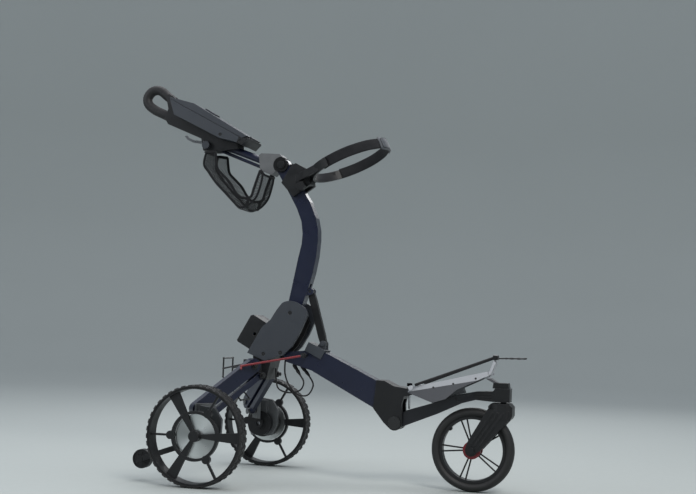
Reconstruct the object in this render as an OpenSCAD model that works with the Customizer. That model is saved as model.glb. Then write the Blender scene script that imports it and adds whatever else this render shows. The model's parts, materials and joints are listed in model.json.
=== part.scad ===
// Electric golf trolley, open and ready for a bag. Millimetres, +X is forward, -Y is the right side.
// Side outlines are drawn with X measured from the rear axle, and place() moves them to the origin.

/* [Wheels] */
// Radius of a rear wheel over its tread
rear_wheel_r = 145; // [143:1:147]
// Width of a rear tyre
rear_tyre_w = 48; // [44:1:50]
// Distance between the middles of the rear tyres
track = 620; // [612:2:630]
// Radius of the front wheel over its tread
front_wheel_r = 122; // [118:1:123]
// Width of the front tyre
front_tyre_w = 44; // [38:1:46]
// Distance from the rear axle to the front axle at rest
wheelbase = 742; // [738:1:746]
// Radius of the anti-tip wheel
anti_tip_r = 28; // [26:1:31]

/* [Frame] */
// Width of the box-section front beam
beam_w = 56; // [50:2:58]
// Thickness of each hub side cover
cover_t = 12; // [8:1:14]
// Width of the mast at right angles to its side
mast_w = 38; // [30:1:42]
// Depth of a rear arm's box section
arm_depth = 44; // [38:1:48]
// Thickness of a rear arm's box section
arm_t = 24; // [18:1:26]

/* [Handle] */
// Width of the console on top of the handle
console_w = 132; // [120:2:140]
// Radius of the grip's rubber
grip_r = 15.5; // [13:0.5:16]

/* [Hidden] */
$fn = 48;
mid_x = 268;              // rear axle to the middle of the whole length
gap = 0.3;                // clearance between parts that move past each other
fit = 0.05;               // radial clearance of a pin in its bore
hub_half = 28;            // half the space between the hub's cheeks
cheek_t = 18;             // thickness of a hub cheek
cover_y = hub_half + cheek_t + 0.1 + cover_t / 2;
mast_pivot = [165, 470];  // mast fold hinge, X and Z
pin_r = 8;
elbow_pivot = [512, 190]; // front fold hinge, X and Z
elbow_pin_r = 7;
elbow_half = 21;          // half the width of the lower arm's root
elbow_cheek_t = 13;
navy = [0.05, 0.07, 0.16];
slate = [0.23, 0.26, 0.30];
black = [0.05, 0.05, 0.06];
grey = [0.55, 0.56, 0.57];
steel = [0.75, 0.76, 0.78];
red = [0.62, 0.10, 0.13];

module place() translate([-mid_x, 0, 0]) children();

// A flat plate with a side outline, its middle at y
module slab(outline, y, t)
    translate([0, y, 0]) rotate([90, 0, 0]) linear_extrude(height = t, center = true) polygon(outline);

// A cylinder along Y, its middle at y
module y_cyl(p, y, r, l)
    translate([p[0], y, p[1]]) rotate([90, 0, 0]) cylinder(r = r, h = l, center = true);

// Points on an arc, from angle a0 to a1
function arc(c, r, a0, a1, n) =
    [for (i = [0:n]) let (a = a0 + (a1 - a0) * i / n) [c[0] + r * cos(a), c[1] + r * sin(a)]];

// A quadratic curve from a to c, pulled towards b
function bend(a, b, c, n) =
    [for (i = [0:n]) let (t = i / n) a * (1 - t) * (1 - t) + b * 2 * t * (1 - t) + c * t * t];

// A straight box bar between two points, `deep` in the vertical plane and `thick` across it
module bar(a, b, deep, thick) {
    d = b - a;
    flat = sqrt(d[0] * d[0] + d[1] * d[1]);
    translate(a) rotate([0, -atan2(d[2], flat), atan2(d[1], d[0])] )
        translate([0, -thick / 2, -deep / 2]) cube([norm(d), thick, deep]);
}

// A round rod between two points
module rod(a, b, r) {
    d = b - a;
    translate(a) rotate([0, acos(d[2] / norm(d)), atan2(d[1], d[0])]) cylinder(r = r, h = norm(d));
}

// A tube swept along a list of points, closed at both ends
function smooth(p) =
    [for (i = [0:len(p) - 2], t = [0, 0.25, 0.5, 0.75])
        let (a = p[max(i - 1, 0)], b = p[i], c = p[i + 1], d = p[min(i + 2, len(p) - 1)])
        0.5 * (2 * b + (c - a) * t + (2 * a - 5 * b + 4 * c - d) * t * t
               + (3 * b - a - 3 * c + d) * t * t * t), p[len(p) - 1]];
function unit(v) = v / norm(v);
module sweep(points, r, sides = 8) {
    p = smooth(points);
    n = len(p);
    ring = [for (i = [0:n - 1])
        let (t = unit(p[min(i + 1, n - 1)] - p[max(i - 1, 0)]),
             ref = abs(t[1]) > 0.9 ? [1, 0, 0] : [0, 1, 0],
             u = unit(cross(t, ref)), v = cross(t, u))
        for (k = [0:sides - 1]) p[i] + r * (cos(360 * k / sides) * u + sin(360 * k / sides) * v)];
    sheet = [for (i = [0:n - 2], k = [0:sides - 1])
        let (j = (k + 1) % sides)
        [i * sides + k, (i + 1) * sides + k, (i + 1) * sides + j, i * sides + j]];
    polyhedron(ring, concat(sheet, [[for (k = [0:sides - 1]) k],
                                    [for (k = [sides - 1:-1:0]) (n - 1) * sides + k]]));
}

// ---- Places of the rear arms ----

arm_root = [80, -84, 342];      // hub pivot of the right arm
arm_reach = [-116, -136, -128]; // from the hub pivot to the wheel bracket's pivot
link_offset = [-28, -28];       // link pivots from the arm's, along the arm's ground line and up
arm_pin_r = 6;
arm_yaw = atan2(arm_reach[1], arm_reach[0]);
arm_flat = sqrt(pow(arm_reach[0], 2) + pow(arm_reach[1], 2));
arm_drop = atan2(-arm_reach[2], arm_flat);

// Mirrors a right-hand part to the left when side is 1
module on_side(side) mirror([0, side > 0 ? 1 : 0, 0]) children();

// Frame of an arm pivot: X runs out along the arm seen from above, +Y points in towards the hub
module at_arm(side, end = 0)
    on_side(side) translate(arm_root + end * arm_reach) rotate([0, 0, arm_yaw]) mirror([0, 1, 0]) children();

// ---- Hub, front beam and elbow ----

cover_outline = concat([[52, 380], [108, 357], [168, 377], [192, 401], [215, 440]],
                       bend([240, 498], [236, 520], [223, 526], 4),
                       bend([204, 537], [176, 546], [158, 534], 5), [[143, 515], [123, 483], [96, 459]]);
cheek_outline = [[62, 384], [108, 364], [165, 383], [186, 405], [206, 440], [220, 478], [210, 500],
                 [190, 512], [160, 510], [128, 476], [100, 452]];
screw_places = [[184, 505], [104, 378], [158, 383]];

module hub_casting() color(black)
    difference() {
        union() {
            for (s = [-1, 1]) slab(cheek_outline, s * (hub_half + cheek_t / 2), cheek_t);
            slab([[66, 384], [108, 366], [128, 372], [112, 418], [92, 432]], 0, 2 * hub_half + 2);
            slab([[72, 300], [112, 300], [128, 372], [108, 366], [66, 384]], 0, 2 * (hub_half + cheek_t));
            for (s = [-1, 1]) at_arm(s)
                translate([-40, arm_t / 2 + 0.5, -44]) cube([56, 15, 62]);
        }
        y_cyl(mast_pivot, 0, pin_r + fit, 120);
        for (s = [-1, 1]) at_arm(s) {
            y_cyl([0, 0], 0, arm_pin_r + fit, 70);
            y_cyl(link_offset, 0, arm_pin_r + fit, 70);
        }
        for (p = screw_places, s = [-1, 1]) y_cyl(p, s * (hub_half + cheek_t), 2.6, 22);
    }

module cover(side) color(slate)
    difference() {
        slab(cover_outline, side * cover_y, cover_t);
        for (p = screw_places) {
            y_cyl(p, side * cover_y, 2.6, cover_t + 2);
            y_cyl(p, side * (cover_y + cover_t / 2), 6, 5);
        }
        y_cyl(mast_pivot, side * (cover_y - cover_t / 2), 15, 12);
    }

module cover_screws() color(steel)
    for (p = screw_places, s = [-1, 1]) {
        y_cyl(p, s * (cover_y + cover_t / 2 - 1.4), 5.4, 2);
        y_cyl(p, s * (hub_half + cheek_t + 1), 2.4, cover_t + 8);
    }

module front_beam() color(navy)
    difference() {
        slab([[150, 384], [168, 356], [249, 333], [462, 222], [470, 303], [264, 401], [226, 392]],
             0, beam_w - 0.4);
        slab([[250, 350], [475, 233.6], [478, 283], [262, 388]], 0, beam_w - 10);
    }

module elbow_bracket() color(black)
    difference() {
        slab(concat([[454, 313], [478, 312], [508, 297], [562, 290.2], [562, 274], [538, 268], [532, 244]],
                    arc(elbow_pivot, 23, 10, -140, 7), [[478, 190], [446, 230]]),
             0, 2 * (elbow_half + gap + elbow_cheek_t));
        slab([[420, 243], [462.2, 221.8], [470.2, 303], [428, 323]], 0, beam_w);
        slab([[476, 150], [476, 214], [500, 256], [560, 262], [575, 262], [575, 150]],
             0, 2 * (elbow_half + gap));
        y_cyl(elbow_pivot, 0, elbow_pin_r + fit, 90);
        translate([548, 0, 240]) cylinder(r = 3 + fit, h = 80);
    }

module pivot_pins() color(steel) {
    y_cyl([235, 378], -50.2, 4, 44);
    y_cyl(mast_pivot, 0, pin_r, 2 * (hub_half + cheek_t) + 2);
    for (s = [-1, 1]) y_cyl(mast_pivot, s * (hub_half + cheek_t + 2), 13, 3.6);
    y_cyl(elbow_pivot, 0, elbow_pin_r, 2 * (elbow_half + elbow_cheek_t) + 2);
    for (s = [-1, 1]) {
        y_cyl(elbow_pivot, s * (elbow_half + gap + elbow_cheek_t + 2.1), 19, 4);
        at_arm(s) for (p = [[0, 0], link_offset]) {
            y_cyl(p, 0, arm_pin_r, arm_t + 26);
            y_cyl(p, -arm_t / 2 - 2.5, 10, 4);
        }
    }
}

// ---- Battery behind the hub ----

// Battery axes: along it, and from its back towards the hub
battery_o = [14, 420];
battery_u = [0.485, 0.875];
battery_v = [0.875, -0.485];
function battery(u, v) = battery_o + u * battery_u + v * battery_v;
battery_w = 91;
module battery_case() color(black)
    difference() {
        slab([battery(-6, 4), battery(-2, 0), battery(84, 0), battery(90, 6), battery(90, 59),
              battery(-6, 59)], 0, battery_w);
        slab([battery(0, 5), battery(84, 5), battery(84, 54), battery(0, 54)], 0, battery_w - 8);
        y_cyl(battery(42, 40), -battery_w / 2, 5, 12);
    }
module battery_cells() color([0.15, 0.3, 0.5])
    for (i = [0:3]) slab([for (q = [[0, 0], [17, 0], [17, 19], [0, 19]]) battery(4 + i * 19 + q[0], 10 + q[1])],
                         0, battery_w - 14);
module control_board() color([0.05, 0.3, 0.12]) {
    slab([battery(4, 46), battery(80, 46), battery(80, 48), battery(4, 48)], 0, battery_w - 12);
    for (i = [0:2]) slab([for (q = [[0, 48], [12, 48], [12, 52], [0, 52]]) battery(12 + i * 22 + q[0], q[1])],
                         i * 12 - 12, 18);
}

// Bent wire guard between the rear arms
guard_y = 40;
guard_line = [[-30, 360], [-30, 303], [30, 234]];
guard_stay = [-30, 328.5];
module wire_guard() color(black) {
    for (p = [guard_line[0], guard_line[2]]) rod([p[0], -guard_y, p[1]], [p[0], guard_y, p[1]], 2.5);
    for (s = [-1, 1]) {
        for (i = [0, 1])
            rod([guard_line[i][0], s * guard_y, guard_line[i][1]],
                [guard_line[i + 1][0], s * guard_y, guard_line[i + 1][1]], 2.5);
        rod([guard_stay[0], s * guard_y, guard_stay[1]], [67.4, s * guard_y, 351.9], 2.5);
        for (p = concat(guard_line, [guard_stay])) translate([p[0], s * guard_y, p[1]]) sphere(r = 3.4);
    }
}

// Leads that hang in loops under the hub, from two connectors back to the hub
lead_a = [[188, -8, 346], [208, -10, 318], [222, -14, 296], [212, -14, 272], [176, -8, 262],
          [138, 0, 272], [127, 6, 302], [124, 8, 334]];
lead_b = [[208, 12, 341], [232, 14, 312], [244, 14, 286], [228, 10, 256], [196, 6, 258],
          [168, 10, 284], [152, 14, 320], [151, 16, 362]];
module motor_cables() color(black) {
    sweep(lead_a, 2.4);
    sweep(lead_b, 2.4);
}

// ---- Latch, release lever and the sliding collar of the brace ----

module latch_rod() color(steel) {
    translate([548, 0, 231]) cylinder(r = 3, h = 69);
    translate([548, 0, 298]) cylinder(r = 8, h = 9);
}

lever_pivot = [235, -66, 378];
lever_tip = [62, -132, 341];
module release_lever() color(red) {
    difference() {
        union() {
            rod(lever_pivot, lever_tip, 3.3);
            y_cyl([lever_pivot[0], lever_pivot[2]], lever_pivot[1], 8, 9);
        }
        y_cyl([lever_pivot[0], lever_pivot[2]], lever_pivot[1], 4 + fit, 20);
    }
    rod(lever_tip, lever_tip + [1, -4, -10], 3.3);
    translate(lever_tip) sphere(r = 4.2);
}

brace_top = [232, 572];   // pivot on the mast
brace_foot = [278, 414];  // pivot on the collar, with the mast up
beam_slope = atan2(303 - 401, 470 - 264);
beam_top_z = 401 + (brace_foot[0] - 264) * (303 - 401) / (470 - 264);
collar_l = 46;            // from the brace's pivot to the collar's rear end
module collar() color(slate) {
    translate([brace_foot[0], 0, beam_top_z]) rotate([0, -beam_slope, 0]) {
        for (s = [-1, 1]) translate([-collar_l, s > 0 ? beam_w / 2 + gap - 0.2 : -beam_w / 2 - gap - 3.8, -24])
            cube([collar_l + 12, 4, 29]);
        translate([-collar_l, -beam_w / 2 - 3, gap]) cube([collar_l + 12, beam_w + 6, 4.7]);
    }
    for (s = [-1, 1]) difference() {
        slab(concat(arc(brace_foot, 10, 0, 180, 8), [[262, 406], [288, 394]]), s * 12, 7);
        slab([[200, 430], [200, 380], [350, 340], [350, 362.1], [264, 402]], 0, 60);
    }
    for (s = [-1, 1]) y_cyl(brace_foot, s * 18, 7, 5);
}

// ---- Mast, its brace and the upper cradle ----

handle_pivot = [128, 961];
module mast_tube() color(navy)
    difference() {
        union() {
            slab(concat(arc(mast_pivot, 26, 180, 345, 8),
                        [[207, 520], [225, 575], [240, 628], [249, 679], [253, 730], [252, 760],
                         [244, 798], [223, 847], [190, 895]], arc(handle_pivot, 22, 30, 215, 8),
                        [[156, 872], [182, 826], [198, 786], [203, 749], [201, 716], [191, 671],
                         [175, 585], [166, 540], [150, 515]]),
                 0, mast_w);
            for (s = [-1, 1])
                slab(concat(arc(brace_top, 11, -90, 100, 6), [[205, 585], [205, 556]]), s * 12, 7);
        }
        slab([[222, 550], [222, 596], [260, 596], [260, 550]], 0, 2 * (8 + gap));
        y_cyl(mast_pivot, 0, pin_r + fit, 80);
        y_cyl(handle_pivot, 0, 6 + fit, 80);
        y_cyl(brace_top, 0, 4 + fit, 80);
    }

brace_l = norm(brace_foot - brace_top);
brace_dir = unit(brace_foot - brace_top);
brace_side = [-brace_dir[1], brace_dir[0]];
module brace_strut() color(black) {
    slab([for (q = [[0, -9], [0, 9], [24, 11], [brace_l - 24, 11], [brace_l, 9], [brace_l, -9],
                    [brace_l - 24, -11], [24, -11]]) brace_top + q[0] * brace_dir + q[1] * brace_side],
         0, 16);
    y_cyl(brace_foot, 0, 9.6, 15);
    y_cyl(brace_top, 0, 9.6, 15);
    y_cyl(brace_top, 0, 4, 31);
}

bag_lean = 24;            // lean of the bag from upright
bag_r = 118;
bag_c = [342, 0, 976];    // middle of the bag at the upper strap
module at_bag() translate(bag_c) rotate([0, -bag_lean, 0]) children();
module band(r, t, h, a0, a1)
    rotate([0, 0, a0]) rotate_extrude(angle = a1 - a0, $fn = 96) translate([r, -h / 2]) square([t, h]);

knob_place = [200, 893];   // clamp knob on the cradle's right plate
module upper_cradle() color(black) {
    for (s = [-1, 1]) slab([[132, 905], [172, 862], [226, 900], [212, 948], [176, 966], [158, 950]],
                           s * (mast_w / 2 + 6.2), 12);
    slab([[191.2, 894], [226, 900], [223, 930], [212, 948], [176, 966], [158, 963], [153, 963.5]],
         0, mast_w + 2);
    at_bag() band(bag_r + 3, 7, 28, 111, 249);
    for (s = [-1, 1]) bar([176, s * 26, 917], [269, s * 95, 943.5], 24, 6);
    y_cyl(knob_place, -mast_w / 2 - 14, 6, 6);
}
module cradle_strap() color(black) at_bag() band(bag_r - 0.2, 3, 30, -122, 122);
module strap_pad() color(slate) at_bag() band(bag_r + 3, 8, 42, -24, 24);
module clamp_knob() color(black) {
    y_cyl(knob_place, -mast_w / 2 - 25, 13, 14);
    for (a = [0:60:300]) y_cyl(knob_place + 12 * [cos(a), sin(a)], -mast_w / 2 - 25, 3, 14);
}

// ---- Handle ----

// Ends of the handle's tube and of the thinner rail below it
tube_a = [-92, 0, 1033.1];
tube_b = [84, 0, 969];
tube_r = 11.5;
rail_a = [-88, 0, 1013.3];
rail_b = [78, 0, 948.6];
rail_r = 5.2;
module handle_joint() color(grey)
    difference() {
        union() {
            slab([[54, 992], [62, 998], [122, 995], [134, 984], [120, 952], [98, 930], [60, 944]], 0, 54);
            y_cyl(handle_pivot, 0, 21, 54);
            for (i = [0:11]) y_cyl([handle_pivot[0] + 21 * cos(30 * i), handle_pivot[1] + 21 * sin(30 * i)],
                                   0, 2, 54);
        }
        y_cyl(handle_pivot, 0, 24.5, mast_w + 2 * gap);
        y_cyl(handle_pivot, 0, 6 + fit, 80);
        rod(tube_a, tube_b + gap * unit(tube_b - tube_a), tube_r + fit);
        rod(rail_a, rail_b + gap * unit(rail_b - rail_a), rail_r + fit);
    }

module handle_tube() color(navy) {
    rod(tube_a, tube_b, tube_r);
    rod(rail_a, rail_b, rail_r);
    y_cyl(handle_pivot, 0, 6, 58);
    for (s = [-1, 1]) y_cyl(handle_pivot, s * 29, 12, 4);
}

lid_line = [[-236, 1168], [-190, 1143], [8, 1040]];
lid_hinge = [26, 1046];
module console_body() color(slate)
    difference() {
        slab(concat(lid_line, [[28, 1041], [27, 1036], [10, 1018], [-17, 1030], [-65, 1041], [-220, 1117]]),
             0, console_w);
        slab([[-205, 1160], [0, 1060], [-12, 1040], [-60, 1050], [-206, 1121]], 0, console_w - 14);
        for (s = [-1, 1]) {
            y_cyl([-62, 1052], s * console_w / 2, 5, 3);
            y_cyl([5, 1031], s * console_w / 2, 5, 3);
        }
    }

module console_lid() color(slate) {
    slab([[-237, 1174], [-154, 1151.5], [26, 1046.5], [9, 1040.6], [-189.6, 1143.8], [-235.6, 1168.8]],
         0, console_w - 4);
    translate([-118, 0, 1130]) rotate([0, 30.2, 0]) translate([-18, -22, -2]) cube([36, 44, 7]);
    y_cyl(lid_hinge, 0, 3.5, 60);
}

module control_module() color(black)
    difference() {
        slab([[-262, 1104], [-221, 1116.2], [-65, 1040.2], [-17, 1029.2], [-16, 1012], [-96, 1006],
              [-132, 1008], [-140, 1046], [-256, 1094]], 0, 56);
        rod(tube_a - gap * unit(tube_b - tube_a), tube_b, tube_r + fit);
        rod(rail_a - gap * unit(rail_b - rail_a), rail_b, rail_r + fit);
        slab([[-150, 1034], [-150, 1053], [-136, 1046], [-122, 1040], [-122, 1026]], 0, 13);
        y_cyl([-134, 1038], 0, 2.05, 80);
    }

module speed_dial() color(slate) {
    y_cyl([-120, 1024], -28 - 6.4, 12, 12);
    for (a = [0:30:330]) y_cyl([-120 + 11.6 * cos(a), 1024 + 11.6 * sin(a)], -28 - 6.4, 1.4, 12);
}

brake_pivot = [-134, 1038];
module brake_lever() color(steel) {
    slab([[-200, 1060], [-192, 1053], [-174, 1045], [-150, 1042], [-136, 1043], [-131, 1036], [-138, 1033],
          [-152, 1034], [-178, 1038], [-197, 1047], [-206, 1058]], 0, 12);
    y_cyl(brake_pivot, 0, 2, 54);
}

// The grip is an upright closed loop behind the console
grip_path = [[-250, 0, 1171], [-272, 0, 1188], [-300, 0, 1208], [-326, 0, 1206], [-342, 0, 1186],
             [-338, 0, 1164], [-316, 0, 1146], [-286, 0, 1132], [-256, 0, 1118]];
module grip_core() color(black)
    difference() {
        slab([[-262, 1194], [-240, 1180], [-236.5, 1168], [-222, 1120], [-226, 1116], [-262, 1104.5],
              [-274, 1112], [-262, 1146], [-270, 1180]], 0, 34);
        rod([-238, 0, 1162], grip_path[1], grip_r + 1);
        rod([-240, 0, 1110.5], grip_path[len(grip_path) - 2], grip_r + 1);
    }
module grip_cover() color(black) sweep(grip_path, grip_r, 12);

// Side of the net below the handle: round its bottom, then back along the scooped rim
net_side = [[-118, 1001], [-125, 960], [-81, 900], [-22, 843], [5, 820], [35, 829], [64, 858], [78, 905],
            [80, 928], [69, 943], [51.5, 891], [43, 857], [8, 857], [-8, 872], [-35, 910], [-72, 943],
            [-79, 996]];
net_hole = [[-113, 1020], [-119.5, 962], [-77, 904], [-18.5, 847.5], [6.5, 825.5], [32.5, 833.5],
            [59.5, 860.5], [73, 906], [75, 940], [75, 1020]];
module storage_net() color(black)
    difference() {
        slab(net_side, 0, 110);
        slab(net_hole, 0, 104);
    }

// ---- Rear arms and wheels: side is -1 on the right and 1 on the left ----

// A rear arm's bar with round ends, lying in the arm's own upright plane
module arm_bar(offset, deep, thick) {
    far = offset + [arm_flat, arm_reach[2]];
    difference() {
        slab(concat(arc(far, deep / 2, -arm_drop - 90, -arm_drop + 90, 10),
                    arc(offset, deep / 2, -arm_drop + 90, -arm_drop + 270, 10)), 0, thick);
        for (c = [offset, far]) y_cyl(c, 0, arm_pin_r + fit, thick + 2);
    }
}
module rear_arm(side) color(navy) at_arm(side) arm_bar([0, 0], arm_depth, arm_t);
module rear_link(side) color(navy) at_arm(side) arm_bar(link_offset, 18, 15);

wheel_y = track / 2;
module at_wheel(side) on_side(side) translate([0, -wheel_y, rear_wheel_r]) children();
module motor_bracket(side) color(grey)
    difference() {
        union() {
            at_arm(side, 1) {
                difference() {
                    translate([-46, -arm_t / 2 - 12.5, -52]) cube([62, 12, 70]);
                    for (p = [[0, 0], link_offset]) y_cyl(p, -arm_t / 2 - 6.5, 4, 20);
                }
                for (p = [[0, 0], link_offset]) y_cyl(p, -2, arm_pin_r, arm_t + 9);
                for (p = [[0, 0], link_offset]) y_cyl(p, arm_t / 2 + 2.9, 10, 4);
            }
            on_side(side) {
                slab([[-12, 160], [-12, 228], [34, 222], [56, 190], [54, 140], [36, 106], [-34, 104],
                      [-44, 128]], -255, 12);
                translate([-8, -251, 164]) cube([30, 20, 56]);
                translate([-20, -252, 180]) cube([16, 26, 34]);
            }
        }
        on_side(side) {
            y_cyl([0, rear_wheel_r], -237.8, 40.3, 22.2);
            y_cyl([0, rear_wheel_r], -255, axle_r + fit, 20);
        }
    }
module motor(side) color(black)
    on_side(side) difference() {
        union() {
            y_cyl([0, rear_wheel_r], -278, 46, 33.6);
            y_cyl([0, rear_wheel_r], -238, 40, 21.6);
            y_cyl([0, rear_wheel_r], -222, 15, 12);
            for (a = [0:60:300]) y_cyl([43 * cos(a), rear_wheel_r + 43 * sin(a)], -278, 5, 33.6);
        }
        y_cyl([0, rear_wheel_r], -250, axle_r + fit, 100);
    }
axle_r = 7;
module axle(side) color(steel) on_side(side) y_cyl([0, rear_wheel_r], -274, axle_r, 92);

rim_r = rear_wheel_r - 7;
module rear_rim(side) color(black) at_wheel(side) {
    difference() {
        y_cyl([0, 0], 0, rim_r - 0.15, rear_tyre_w - 4);
        y_cyl([0, 0], 0, rim_r - 5, rear_tyre_w);
    }
    translate([0, -wheel_face, 0]) {
        difference() {
            y_cyl([0, 0], 2, 71, 14);
            y_cyl([0, 0], 2, 63, 20);
        }
        difference() {
            y_cyl([0, 0], 0, 16, 22);
            y_cyl([0, 0], 5.6, axle_r + fit, 11.5);
        }
        for (a = [0:120:240]) rotate([0, -a, 0]) {
            slab([[8, -4], [64, -10], [rim_r - 4, -16], [rim_r - 4, 16], [64, 10], [8, 4]], 0, 9);
            rotate([0, -60, 0]) {
                slab([[70, -3], [rim_r - 4, -3], [rim_r - 4, 3], [70, 3]], 0, 8);
                y_cyl([74, 0], 2, 12, 14);
            }
        }
    }
}
wheel_face = 10;
module rear_tyre(side) color([0.04, 0.04, 0.04]) at_wheel(side)
    difference() {
        y_cyl([0, 0], 0, rear_wheel_r, rear_tyre_w);
        y_cyl([0, 0], 0, rim_r, rear_tyre_w + 2);
        for (i = [0:35], s = [-1, 1]) rotate([0, i * 10 + (s > 0 ? 5 : 0), 0])
            translate([0, s * (rear_tyre_w / 2 - 7), rear_wheel_r]) cube([7, 18, 6], center = true);
    }
module hub_disc(side) color(grey) at_wheel(side)
    difference() {
        y_cyl([0, 0], 1.5, 61.5, 10);
        y_cyl([0, 0], 0, 16.3, 40);
    }

module anti_tip_arm() color(black) {
    bar([-36, -246, 120], [-199, -246, 62], 16, 5.9);
    y_cyl([-199, 62], -229, 4, 40);
    y_cyl([-199, 62], -246, 9.5, 8);
}
module anti_tip_wheel() color(black)
    difference() {
        union() {
            difference() {
                y_cyl([-199, 62], -226, anti_tip_r, 22);
                for (s = [-1, 1]) y_cyl([-199, 62], -226 + s * 11.5, 25, 5);
            }
            for (a = [0:45:315]) y_cyl([-199 + 18 * cos(a), 62 + 18 * sin(a)], -226, 2.4, 21);
        }
        y_cyl([-199, 62], -226, 4 + fit, 40);
    }

// ---- Lower arm, bag rest and head ----

caster_x = 828;           // swivel axis of the front fork
module lower_arm() color(navy)
    difference() {
        slab(concat(arc(elbow_pivot, elbow_half - 0.5, 75, 290, 12),
                    [[541, 182], [565, 192], [636, 221], [709, 256], [747.7, 267], [747.7, 291], [691, 279],
                     [618, 251], [546, 228]]), 0, 2 * elbow_half);
        y_cyl(elbow_pivot, 0, elbow_pin_r + fit, 80);
        for (s = [-1, 1]) slab([[690, 272], [740, 283], [740, 275], [696, 260]], s * elbow_half, 5);
    }

rest_w = 132;
module bag_rest() color(grey) {
    slab([[566, 291.5], [567, 284.3], [788, 338], [786, 346]], 0, rest_w);
    for (s = [-1, 1]) slab([[560, 290], [556, 282], [629, 256], [668, 268], [700, 296], [752, 321],
                            [775, 333], [792, 340], [788, 352], [750, 343], [640, 316], [562, 298]],
                           s * (rest_w / 2 - 3), 6);
    slab([[604, 294], [619.2, 252], [691, 279.6], [716, 285.4], [704, 318]], 0, 34);
    slab([[783, 339], [792, 342], [806, 376], [800, 384], [785, 345.6]], 0, 44);
    slab([[770, 334], [781, 337], [812, 319.3], [798, 319.3]], 0, 34);
    for (s = [-1, 1]) y_cyl([566, 296], s * (rest_w / 2 + 4), 7, 10);
}

cord_r = 4;
module bungee() color(black) {
    for (s = [-1, 1]) rod([578.5, s * 73, 305], [800, s * 10, 390], cord_r);
    translate([803, 0, 391.8]) cube([16, 34, 15], center = true);
}
module pull_tab() color(black)
    slab([[811.3, 387], [830, 388], [892, 390], [894, 393.5], [830, 393], [811.3, 392.5]], 0, 22);

module head_block() color(black)
    difference() {
        union() {
            slab([[748, 268], [806, 264], [849, 264], [849, 303], [806, 303], [800, 294], [748, 291]], 0, 52);
            slab([[798, 303], [846, 303], [843, 319], [800, 319]], 0, 40);
        }
        for (z = [271, 279, 287]) for (s = [-1, 1]) translate([740, s * 26, z]) translate([0, -1.5, 0])
            cube([58, 3, 3]);
        translate([caster_x, 0, 262]) cylinder(r = 15.05, h = 44);
    }
module head_bearing() color(steel)
    for (z = [265, 294]) translate([caster_x, 0, z]) difference() {
        cylinder(r = 15, h = 9);
        translate([0, 0, -1]) cylinder(r = 9 + fit, h = 11);
    }

// ---- Caster fork and front wheel ----

front_axle_p = [wheelbase, front_wheel_r];
leg_in = front_tyre_w / 2 + 5;
module fork() color(black)
    difference() {
        union() {
            intersection() {
                slab([[784, 226], [796, 214], [852, 214], [858, 224], [858, 250], [848, 260], [796, 260],
                      [784, 250]], 0, 2 * leg_in + 30);
                translate([caster_x, 0, 210]) cylinder(r = 44, h = 60);
            }
            for (s = [-1, 1]) {
                slab(concat([[788, 244], [852, 240], [850, 214], [768, 122]],
                            arc(front_axle_p, 17, -20, -200, 8), [[731, 146]]), s * (leg_in + 7), 14);
                for (i = [0:2]) slab([[800 + i * 16, 236], [806 + i * 16, 234], [745 + i * 9, 140 - i * 6],
                                      [741 + i * 9, 142 - i * 6]], s * (leg_in + 14.5), 3);
            }
            translate([caster_x, 0, 250]) cylinder(r = 9, h = 50);
        }
        y_cyl(front_axle_p, 0, front_wheel_r + 5, 2 * leg_in);
        y_cyl(front_axle_p, 0, 6.05, 120);
    }
module front_axle() color(steel) {
    y_cyl(front_axle_p, 0, 6, 2 * leg_in + 36);
    for (s = [-1, 1]) y_cyl(front_axle_p, s * (leg_in + 18.2), 10, 4);
}
module front_rim() color(black) {
    difference() {
        y_cyl(front_axle_p, 0, 97.85, front_tyre_w - 12);
        y_cyl(front_axle_p, 0, 89, front_tyre_w);
    }
    difference() {
        y_cyl(front_axle_p, 0, 19, 38);
        y_cyl(front_axle_p, 0, 14.15, 50);
    }
    for (a = [0:72:288], d = [-9, 9])
        rod([front_axle_p[0] + 18 * cos(a + 36 + d), d / 3, front_axle_p[1] + 18 * sin(a + 36 + d)],
            [front_axle_p[0] + 93 * cos(a + 36 + d * 0.62), 0, front_axle_p[1] + 93 * sin(a + 36 + d * 0.62)],
            2.4);
    y_cyl([front_axle_p[0] - 68, front_axle_p[1] + 58], 0, 6, 12);
}
module front_tyre() color([0.04, 0.04, 0.04])
    translate([wheelbase, 0, front_wheel_r]) rotate([90, 0, 0])
        rotate_extrude($fn = 96) polygon([[98, -front_tyre_w / 2 + 4], [104, -front_tyre_w / 2],
            [114, -front_tyre_w / 2 + 4], [120, -9], [front_wheel_r, -3], [front_wheel_r, 3], [120, 9],
            [114, front_tyre_w / 2 - 4], [104, front_tyre_w / 2], [98, front_tyre_w / 2 - 4]]);
module front_hub() color(red)
    difference() {
        union() {
            y_cyl(front_axle_p, 0, 14, 2 * leg_in - 1);
            for (s = [-1, 1]) y_cyl(front_axle_p, s * 22.8, 26, 7);
        }
        y_cyl(front_axle_p, 0, 6 + fit, 90);
    }

place() hub_casting();
place() cover(-1);  // right_cover
place() cover(1);  // left_cover
place() cover_screws();
place() front_beam();
place() elbow_bracket();
place() pivot_pins();
place() battery_case();
place() battery_cells();
place() control_board();
place() wire_guard();
place() motor_cables();
place() latch_rod();
place() release_lever();
place() collar();
place() mast_tube();
place() upper_cradle();
place() cradle_strap();
place() strap_pad();
place() brace_strut();
place() handle_joint();
place() handle_tube();
place() console_body();
place() console_lid();
place() control_module();
place() speed_dial();
place() brake_lever();
place() grip_core();
place() grip_cover();
place() storage_net();
place() clamp_knob();
place() rear_arm(-1);  // right_arm
place() rear_link(-1);  // right_link
place() motor_bracket(-1);  // right_motor_bracket
place() motor(-1);  // right_motor
place() axle(-1);  // right_axle
place() rear_rim(-1);  // right_rim
place() rear_tyre(-1);  // right_tyre
place() hub_disc(-1);  // right_hub_disc
place() rear_arm(1);  // left_arm
place() rear_link(1);  // left_link
place() motor_bracket(1);  // left_motor_bracket
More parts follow.
